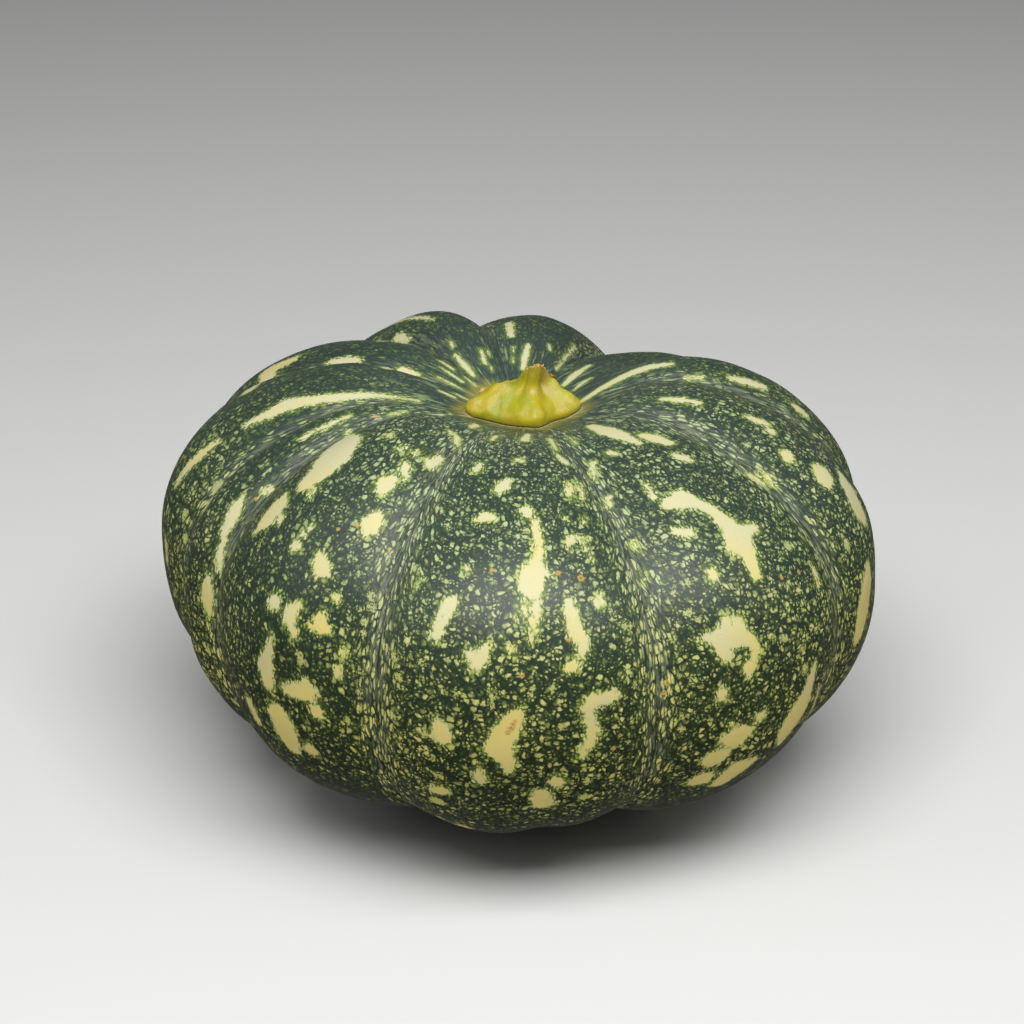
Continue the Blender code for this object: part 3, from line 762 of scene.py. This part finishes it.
def torn_height(x, y, top):
    """Height of the torn top: the top with a bell-shaped knob, less the drops of its steps, and
    less a fall to the back that stops at a limit."""
    left = 1 - ramp(x, *LEFT_STEP)
    right = ramp(x, *RIGHT_STEP)
    knob = KNOB_HEIGHT * bell((x - KNOB_PLACE) / KNOB_WIDTH)
    fall = BACK_FALL * np.clip(y - TORN_FRONT, 0, BACK_FALL_LIMIT)
    return top + knob - LEFT_DROP * left - RIGHT_DROP * right - fall


def stem_rings(lump):
    """Rings of the stem from its torn top, down the fluted neck and the flared foot to the lip,
    and in under the foot just above the skin. Lumps move the sides out and in, and short waves
    roughen the torn top."""
    over = np.concatenate([np.linspace(0.04, 1, TOP_ROWS), np.ones(SIDE_ROWS + UNDER_ROWS)])
    down = np.concatenate([np.zeros(TOP_ROWS), np.linspace(0, 1, SIDE_ROWS + 1)[1:], np.ones(UNDER_ROWS)])
    under = np.concatenate([np.zeros(TOP_ROWS + SIDE_ROWS), np.linspace(0, 0.985, UNDER_ROWS + 1)[1:] ** 2])
    azimuth, over = np.meshgrid(np.arange(STEM_STEPS) * 2 * math.pi / STEM_STEPS, over)
    down, under = np.broadcast_to(down[:, None], over.shape), np.broadcast_to(under[:, None], over.shape)
    foot = foot_radius(azimuth)
    neck = neck_radius(azimuth, down)
    top = skin_height(np.zeros(1), np.zeros(1))[0] + STEM_HEIGHT
    flare = np.clip((down - NECK_FOOT) / (1 - NECK_FOOT), 0, 1)
    flare = 1 - (1 - flare**FLARE_START) ** FLARE_END
    radius = over * (neck + (foot - neck) * flare) * (1 - under)
    seat = skin_height(azimuth, foot) + FOOT_LIP
    tip = top + KNOB_HEIGHT
    height = tip + (seat - tip) * down - PLUG_DEPTH * np.sqrt(under)
    height = np.maximum(height, skin_height(azimuth, radius) + FOOT_CLEARANCE)
    points = place(azimuth, radius, height)
    lean = 1 - ramp(down, 0, 1)
    points[..., 0] += NECK_LEAN[0] * lean
    points[..., 1] += NECK_LEAN[1] * lean
    rough = TORN_ROUGHNESS * waves(points, *TORN_WAVES, SEED + 1)
    torn = torn_height(points[..., 0] - STEM_AXIS[0], points[..., 1] - STEM_AXIS[1], top) + rough
    cut = points[..., 2] > torn
    points[..., 2] = np.minimum(points[..., 2], torn)
    out = points - np.array([*STEM_AXIS, top - STEM_HEIGHT])
    out /= np.linalg.norm(out, axis=-1, keepdims=True)
    lumps = waves(points, *LUMP_WAVES, SEED + 2) * ramp(down, 0, 0.3) * (1 - ramp(down, 0.85, 1))
    fibres = np.cos(azimuth * FIBRE_COUNT + 3 * np.sin(azimuth * 3)) * (1 - ramp(down, 0.2, 0.6)) * over
    points = points + out * (lump * lumps + FIBRE_HEIGHT * fibres * (under == 0))[..., None]
    return points, np.where(cut | (over < 1), 1.0, 0.0), foot


class Wire:
    """An output socket of a material. Arithmetic on it adds Math nodes to the material."""

    def __init__(self, finish, socket):
        self.finish = finish
        self.socket = socket

    def maths(self, operation, first, second):
        return self.finish.add("ShaderNodeMath", {"operation": operation}, {0: first, 1: second})

    def __add__(self, other):
        return self.maths("ADD", self, other)

    def __sub__(self, other):
        return self.maths("SUBTRACT", self, other)

    def __rsub__(self, other):
        return self.maths("SUBTRACT", other, self)

    def __mul__(self, other):
        return self.maths("MULTIPLY", self, other)

    __radd__ = __add__
    __rmul__ = __mul__


class Finish:
    """A material in the making, and the one method that adds its nodes."""

    def __init__(self, name):
        self.material = bpy.data.materials.new(name)
        self.material.use_nodes = True
        self.nodes = self.material.node_tree.nodes
        self.shader = self.nodes["Principled BSDF"]

    def feed(self, node, sockets):
        for name, value in sockets.items():
            if isinstance(value, Wire):
                self.material.node_tree.links.new(value.socket, node.inputs[name])
            else:
                node.inputs[name].default_value = value

    def add(self, kind, settings=None, sockets=None, output=0):
        node = self.nodes.new(kind)
        for name, value in (settings or {}).items():
            setattr(node, name, value)
        self.feed(node, sockets or {})
        return Wire(self, node.outputs[output])

    def smooth(self, value, low, high):
        """0 up to low, 1 from high, and an S curve between."""
        settings = {"interpolation_type": "SMOOTHSTEP"}
        sockets = {"Value": value, "From Min": low, "From Max": high}
        return self.add("ShaderNodeMapRange", settings, sockets)

    def fade(self, value, low, high):
        """1 up to low, 0 from high, and an S curve between."""
        return 1 - self.smooth(value, low, high)

    def distance(self, where, point):
        """How far each place is from this point."""
        settings = {"operation": "DISTANCE"}
        return self.add("ShaderNodeVectorMath", settings, {0: where, 1: point}, "Value")

    def least(self, first, second):
        return self.add("ShaderNodeMath", {"operation": "MINIMUM"}, {0: first, 1: second})

    def most(self, first, second):
        return self.add("ShaderNodeMath", {"operation": "MAXIMUM"}, {0: first, 1: second})

    def blend(self, factor, first, second):
        """A colour between two others."""
        first, second = [c if isinstance(c, Wire) else (*c, 1.0) for c in (first, second)]
        sockets = {0: factor, 6: first, 7: second}
        return self.add("ShaderNodeMix", {"data_type": "RGBA"}, sockets, output=2)

    def move(self, where, by, scale=1.0):
        """Places shifted by another vector times a scale."""
        settings = {"operation": "MULTIPLY_ADD"}
        return self.add("ShaderNodeVectorMath", settings, {0: by, 1: (scale,) * 3, 2: where})

    def stretch(self, where, *scale):
        """Places scaled along each axis. A small scale draws the pattern out."""
        return self.add("ShaderNodeMapping", {}, {"Vector": where, "Scale": scale})

    def noise(self, where, step, detail=2.0, flat=True, output="Fac"):
        """Soft noise whose lumps are about this step apart."""
        settings = {"noise_dimensions": "2D" if flat else "3D"}
        sockets = {"Vector": where, "Scale": 1 / step, "Detail": detail}
        return self.add("ShaderNodeTexNoise", settings, sockets, output)

    def cells(self, where, step, feature="F1", output="Distance"):
        """Irregular cells about this step apart."""
        settings = {"voronoi_dimensions": "2D", "feature": feature}
        return self.add("ShaderNodeTexVoronoi", settings, {"Vector": where, "Scale": 1 / step}, output)

    def islands(self, where, step, crumbs):
        """Soft islands, one in each cell, that differ in size and strength."""
        tint, room, _ = self.parts(self.cells(where, step, output="Color"))
        away = self.cells(where, step)
        edge = self.cells(where, step, "DISTANCE_TO_EDGE")
        rise = 0.32 + room * 0.34 - away + (crumbs - 0.5) * 0.44
        heart = self.smooth(rise, -0.18, 0.44) * (0.10 + tint * 0.90)
        body = self.smooth(edge + (crumbs - 0.5) * 0.10, 0.03, 0.24) * (0.12 + tint * 0.22)
        return self.most(heart * self.smooth(edge, 0.01, 0.16), body)

    def parts(self, vector):
        """The three numbers of a vector or a colour."""
        return [self.add("ShaderNodeSeparateXYZ", {}, {"Vector": vector}, output=i) for i in range(3)]

    def value(self, name):
        return self.add("ShaderNodeAttribute", {"attribute_name": name}, {}, "Fac")

    def finished(self, height, distance, gloss, **surface):
        """Feeds the shader, with a Bump node for the fine relief."""
        bump = self.add("ShaderNodeBump", {}, {"Strength": 1.0, "Distance": distance, "Height": height})
        self.feed(self.shader, {**surface, "Normal": bump, "Specular IOR Level": gloss})
        return self.material


def rind_finish(sizes, colours, scabs):
    """Pale flecks of three sizes in a dark net, long ones by the furrows and dim ones at the back, with
    cream marks in lime rims, greyish furrows, a grey-blue tint on the shoulders that is partly wax
    bloom and partly painted sheen, and scabs. Painted shade dims the flecks low down, on the left side
    and in the furrows' creases, and draws a dark line in each crease."""
    f = Finish("netted_rind")
    skin = f.add("ShaderNodeUVMap", {"uv_map": "pattern"})
    spot = f.add("ShaderNodeTexCoord", {}, {}, "Object")
    across, depth, height = f.parts(spot)
    mark, furrow, radius = f.value("mark"), f.value("furrow"), f.value("radius")
    fruit_top = EQUATOR_HEIGHT + CROWN_RISE

    wobble = f.noise(skin, 7 * MM, output="Color")
    shiver = f.noise(skin, 1.5 * MM, output="Color")
    skewed = f.move(f.move(skin, wobble, 2.4 * MM), shiver, 0.6 * MM)
    patchy = f.noise(spot, 22 * MM, flat=False)
    crumbs = f.noise(skin, 0.7 * MM, detail=3.0)

    behind = f.smooth(depth, -40 * MM, 40 * MM) * (1 - f.smooth(radius, 45 * MM, 110 * MM) * 0.60)
    # clear is low in each furrow's crease, where it dims the flecks as painted shade, and close round the
    # stem, where it dims them too.
    clear = f.smooth(furrow, -0.5 * MM, 0.9 * MM) * f.smooth(radius, 17 * MM, 40 * MM)
    valley = f.fade(furrow, 1.5 * MM, 10 * MM)
    large = f.islands(skewed, sizes.fleck, crumbs)
    small = f.islands(skewed, sizes.small_fleck, crumbs)
    flecks = f.most(large * (0.70 + small * 0.50), small * 0.66)
    stretched = f.stretch(skewed, 1.0, 0.34, 1.0)
    long_flecks = f.islands(stretched, sizes.long_fleck, crumbs)
    flecks = flecks + (long_flecks * 1.45 - flecks) * (valley * 0.85)
    vein_edge = f.cells(skewed, sizes.vein, "DISTANCE_TO_EDGE")
    veins = f.smooth(vein_edge + crumbs * 0.05, 0.03, 0.12)
    flecks = flecks * (0.35 + veins * 0.65) * (0.60 + patchy * 0.80)
    # Painted shade: the flecks are dimmed towards the bottom of the fruit.
    painted_low_shade = f.fade(height, 5 * MM, 60 * MM)
    # Painted shade: the flecks are dimmed on the fruit's left side.
    left = f.fade(across, -62 * MM, -32 * MM) * f.smooth(across, -96 * MM, -80 * MM)
    flecks = flecks * (0.40 + clear * 0.60) * (1 - behind * 0.60) * (1 - painted_low_shade * 0.55)
    flecks = flecks * (1 - left * 0.22)
    single = f.smooth(f.value("single_fleck") + (crumbs - 0.5) * (3.0 * MM), -0.5 * MM, 0.6 * MM)
    flecks = f.most(flecks, single * 0.58)

    high_up = f.smooth(height, 0.35 * fruit_top, 0.95 * fruit_top)
    # The net goes from ground_low to ground_high with height: the lighter, bluer top is partly painted
    # sheen and the darker bottom partly painted shade.
    ground = f.blend(high_up, colours.ground_low, colours.ground_high)
    bright = f.blend(high_up, colours.fleck_warm, colours.fleck_bright)
    fleck_colour = f.blend(f.smooth(flecks, 0.14, 0.80), colours.fleck_dull, bright)
    fleck_colour = f.blend(behind * 0.45, fleck_colour, colours.lime)
    tint = f.blend(f.smooth(flecks, 0.0, 0.46), ground, fleck_colour)

    drawn = f.stretch(skewed, 1.0, 0.12, 1.0)
    strands = f.noise(drawn, 1.2 * MM)
    by_furrow = f.fade(furrow, 0.3 * MM, 6.0 * MM) * f.smooth(radius, 25 * MM, 60 * MM)
    tint = f.blend(by_furrow * (0.36 + high_up * 0.18) * f.smooth(strands, 0.42, 0.62), tint, colours.haze)
    # Painted shade: a thin dark line along each furrow's crease.
    tint = f.blend(f.fade(furrow, 0.1 * MM, 0.7 * MM) * 0.35, tint, colours.ground_low)
    near_stem = f.fade(radius, 26 * MM, 70 * MM)
    # Grey-blue tint on the upper half and near the stem: partly wax bloom, partly painted sheen.
    tint = f.blend(high_up * (0.04 + patchy * 0.12 + near_stem * 0.20), tint, colours.bloom_and_sheen)
    long = f.stretch(f.move(skin, wobble, 1.5 * MM), 1.0, 0.28, 1.0)
    rays = f.smooth(f.noise(long, 3.6 * MM), 0.60, 0.74) * f.fade(radius, 22 * MM, 50 * MM)
    tint = f.blend(rays * 0.5, tint, colours.fleck_bright)

    spiky = f.stretch(skewed, 1.0, 0.50, 1.0)
    spikes = f.smooth(f.noise(spiky, 0.75 * MM, detail=3.0), 0.44, 0.68) * 1.3 - 0.25
    lumpy = f.noise(skin, 2.6 * MM) - 0.5
    fringe = (spikes + lumpy * 2.0) * (0.25 + f.smooth(radius, 25 * MM, 75 * MM) * 0.75)
    reach = mark + (fringe + (crumbs - 0.5) * 1.1) * sizes.fringe
    inside = f.smooth(reach, -0.30 * MM, 0.40 * MM)
    rim = f.smooth(reach, -sizes.halo, -0.1 * MM)
    tint = f.blend(rim * (0.22 + flecks * 0.80), tint, colours.lime)
    warm = f.smooth(patchy + (1 - high_up) * 0.45, 0.45, 0.95)
    cream = f.blend(warm, colours.cream, colours.yolk)
    cream = f.blend(f.smooth(crumbs, 0.50, 0.70) * 0.30, cream, colours.fleck_bright)
    cream = f.blend(f.fade(reach, 0.0, 1.3 * MM) * 0.45, cream, colours.fleck_bright)
    cream = f.blend(f.fade(reach, 0.0, 0.5 * MM) * 0.30, cream, colours.lime)
    tint = f.blend(inside, tint, cream)

    beside = f.value("beside_stem")
    glow = f.fade(beside, 1.0 * MM, 7.5 * MM)
    tint = f.blend(glow * (0.20 + f.smooth(strands, 0.35, 0.65) * 0.70), tint, colours.collar)
    cork = f.fade(beside + crumbs * (1.2 * MM), 0.9 * MM, 2.0 * MM)
    tint = f.blend(cork * 0.75, tint, colours.cork)
    away = reduce(f.least, [f.distance(spot, middle) - half for middle, half in scabs])
    away = away + (crumbs - 0.5) * (0.9 * MM)
    scab = f.fade(away, -0.2 * MM, 0.3 * MM)
    tint = f.blend(scab * 0.75, tint, colours.scab)
    tint = f.blend(f.fade(away, -0.8 * MM, -0.4 * MM) * 0.5, tint, colours.ground_low)
    under = f.fade(height, 2 * MM, 7 * MM)
    disc = f.fade(radius, SCAR_RADIUS, SCAR_RADIUS + SCAR_EDGE) * under
    tint = f.blend(disc * (0.6 + crumbs * 0.4), tint, colours.scar)

    grain = f.noise(spot, sizes.grain, flat=False)
    relief = grain * 0.35 + large * 0.25 + inside * 0.35 + scab * 1.2
    roughness = 0.33 + crumbs * 0.16 + flecks * 0.10 + inside * 0.08 + by_furrow * 0.25
    return f.finished(relief, 0.16 * MM, 0.34, **{"Base Color": tint, "Roughness": roughness})


def stem_finish(sizes, colours):
    """Yellow-green flesh with greener hollows, paler ridges, and brown torn fibres on top."""
    f = Finish("torn_stem")
    spot = f.add("ShaderNodeTexCoord", {}, {}, "Object")
    torn, ridge = f.value("torn"), f.value("ridge")
    patchy = f.noise(spot, 9 * MM, detail=3.0, flat=False)
    blotchy = f.noise(spot, 4 * MM, detail=4.0, flat=False)
    fibres = f.stretch(spot, 1.0, 1.0, 0.18)
    streaks = f.noise(fibres, 1.1 * MM, detail=4.0, flat=False)
    green = f.smooth(patchy - ridge * 0.12, 0.44, 0.60)
    tint = f.blend(green * 0.85, colours.stem, colours.stem_green)
    tint = f.blend(f.smooth(ridge + blotchy * 0.5, 0.80, 1.30) * 0.6, tint, colours.stem_pale)
    _, _, height = f.parts(spot)
    aloft = f.smooth(height, STEM_SEAT + 5 * MM, STEM_SEAT + 14 * MM)
    tint = f.blend(f.smooth(blotchy, 0.52, 0.66) * (0.25 + aloft * 0.45), tint, colours.stem_tan)
    tint = f.blend(f.smooth(streaks, 0.58, 0.72) * (0.15 + aloft * 0.55), tint, colours.stem_torn)
    tint = f.blend(torn * (0.45 + blotchy * 0.6), tint, colours.stem_tan)
    tint = f.blend(torn * f.smooth(streaks, 0.48, 0.60), tint, colours.stem_torn)
    relief = blotchy * 0.8 + streaks * 0.5
    roughness = 0.30 + patchy * 0.22 + torn * 0.2
    return f.finished(relief, 0.35 * MM, 0.34, **{"Base Color": tint, "Roughness": roughness})


def floor_finish(colours):
    f = Finish("plain_floor")
    f.feed(f.shader, {"Base Color": (*colours.floor, 1.0), "Roughness": 0.9, "Specular IOR Level": 0.1})
    return f.material


def add_piece(name, mesh, material):
    piece = bpy.data.objects.new(name, mesh)
    mesh.materials.append(material)
    bpy.context.scene.collection.objects.link(piece)
    return piece


def add_light(name, azimuth, elevation, distance, width, depth, power, tone):
    """An area light that faces the middle of the fruit from this direction in degrees."""
    azimuth, elevation = math.radians(azimuth), math.radians(elevation)
    light = bpy.data.lights.new(name, "AREA")
    light.shape = "RECTANGLE"
    light.size, light.size_y = width, depth
    light.energy, light.color = power, tone
    lamp = bpy.data.objects.new(name, light)
    flat = math.cos(elevation)
    way = Vector((math.sin(azimuth) * flat, -math.cos(azimuth) * flat, math.sin(elevation)))
    lamp.location = Vector((0, 0, EQUATOR_HEIGHT)) + way * distance
    lamp.rotation_euler = way.to_track_quat("Z", "Y").to_euler()
    bpy.context.scene.collection.objects.link(lamp)


class PUMPKIN_OT_fruit(Operator):
    """Make the fruit's fine skin with its marks and its netted rind"""

    bl_idname = "pumpkin.fruit"
    bl_label = "Make Fruit"

    def execute(self, context):
        sizes, colours = context.scene.pumpkin_sizes, context.scene.pumpkin_colours
        azimuth, radius, rings = fruit_rings(sizes.ripple)
        ends = place(np.zeros(2), *fruit_profile(np.zeros(2), np.array([0.0, math.pi])))
        mesh = closed_mesh("fruit_skin", rings, *ends)
        points = np.concatenate([rings.reshape(-1, 3), ends])
        layer = mesh.uv_layers.new(name="pattern")
        layer.data.foreach_set("uv", pattern_map(radius, rings).astype(np.float32).ravel())
        squares, _, _ = ring_faces(*rings.shape[:2])
        skin = BVHTree.FromPolygons(points.tolist(), squares.tolist())
        seen = [cast_mark(skin, mark) for marks in SEEN_MARKS.values() for mark in marks]
        normals = np.empty(len(points) * 3, dtype=np.float32)
        mesh.vertex_normals.foreach_get("vector", normals)
        to_camera = np.array(camera_pose()[0]) - points
        facing = (normals.reshape(-1, 3) * to_camera).sum(-1) / np.linalg.norm(to_camera, axis=1)
        unseen = unseen_marks(points, facing, seen)
        add_values(mesh, "mark", mark_depth(points, seen + unseen))
        single = [cast_mark(skin, [fleck]) for fleck in SEEN_FLECKS]
        add_values(mesh, "single_fleck", mark_depth(points, single))
        add_values(mesh, "furrow", np.append(furrow_distance(azimuth, radius), [0, 0]))
        add_values(mesh, "radius", np.append(radius, [0, 0]))
        add_values(mesh, "beside_stem", np.append(radius - foot_radius(azimuth), [0, 0]))
        scabs = [(cast(skin, column, row), half / PIXELS_PER_METRE) for column, row, half in SEEN_SCABS]
        fruit = add_piece("fruit_skin", mesh, rind_finish(sizes, colours, scabs))
        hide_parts("fruit")
        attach(fruit, "root")
        return {"FINISHED"}


class PUMPKIN_OT_stem(Operator):
    """Make the torn stem with its lumpy, five-cornered foot"""

    bl_idname = "pumpkin.stem"
    bl_label = "Make Stem"

    def execute(self, context):
        sizes, colours = context.scene.pumpkin_sizes, context.scene.pumpkin_colours
        rings, torn, foot = stem_rings(sizes.stem_lump)
        mesh = closed_mesh("torn_stem", rings, rings[0].mean(axis=0), rings[-1].mean(axis=0))
        ridge = (foot - foot.min()) / (foot.max() - foot.min())
        add_values(mesh, "torn", np.append(torn, [1, 0]))
        add_values(mesh, "ridge", np.append(ridge, [0, 0]))
        stem = add_piece("torn_stem", mesh, stem_finish(sizes, colours))
        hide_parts("stem")
        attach(stem, "root")
        return {"FINISHED"}


class PUMPKIN_OT_stage(Operator):
    """Make the plain floor, the soft lights and the photo's camera"""

    bl_idname = "pumpkin.stage"
    bl_label = "Make Stage"

    def execute(self, context):
        colours = context.scene.pumpkin_colours
        corners = [(-1, -1), (1, -1), (1, 1), (-1, 1)]
        mesh = bpy.data.meshes.new("floor")
        mesh.from_pydata([(x * FLOOR_HALF, y * FLOOR_HALF, 0) for x, y in corners], [], [(0, 1, 2, 3)])
        floor = add_piece("floor", mesh, floor_finish(colours))
        floor.visible_glossy = False
        for light in LIGHTS:
            add_light(*light)
        world = bpy.data.worlds.new("studio")
        world.use_nodes = True
        background = world.node_tree.nodes["Background"]
        background.inputs["Color"].default_value = (1, 1, 1, 1)
        background.inputs["Strength"].default_value = WORLD_STRENGTH
        context.scene.world = world
        context.scene.view_settings.view_transform = "Standard"
        lens = bpy.data.cameras.new("photo_camera")
        lens.sensor_width = SENSOR_WIDTH
        lens.lens = FOCAL_PIXELS / PHOTO_SIZE * SENSOR_WIDTH
        camera = bpy.data.objects.new("photo_camera", lens)
        camera.location, camera.rotation_euler = camera_pose()
        context.scene.collection.objects.link(camera)
        context.scene.camera = camera
        return {"FINISHED"}


class PUMPKIN_PT_panel(Panel):
    """The pumpkin's pieces and their looks"""

    bl_idname = "PUMPKIN_PT_panel"
    bl_label = "Ribbed Pumpkin"
    bl_space_type = "VIEW_3D"
    bl_region_type = "UI"
    bl_category = "Pumpkin"

    def draw(self, context):
        for operator in OPERATORS:
            self.layout.operator(operator.bl_idname)
        for group in (context.scene.pumpkin_sizes, context.scene.pumpkin_colours):
            box = self.layout.box()
            for name in group.__annotations__:
                box.prop(group, name)


OPERATORS = (PUMPKIN_OT_stage, PUMPKIN_OT_fruit, PUMPKIN_OT_stem)
CLASSES = (PumpkinSizes, PumpkinColours, *OPERATORS, PUMPKIN_PT_panel)


def register():
    for kind in CLASSES:
        bpy.utils.register_class(kind)
    bpy.types.Scene.pumpkin_sizes = PointerProperty(type=PumpkinSizes)
    bpy.types.Scene.pumpkin_colours = PointerProperty(type=PumpkinColours)


def unregister():
    del bpy.types.Scene.pumpkin_colours
    del bpy.types.Scene.pumpkin_sizes
    for kind in reversed(CLASSES):
        bpy.utils.unregister_class(kind)


def main():
    register()
    bpy.ops.pumpkin.stage()
    bpy.ops.pumpkin.fruit()
    bpy.ops.pumpkin.stem()


if __name__ == "__main__":
    main()
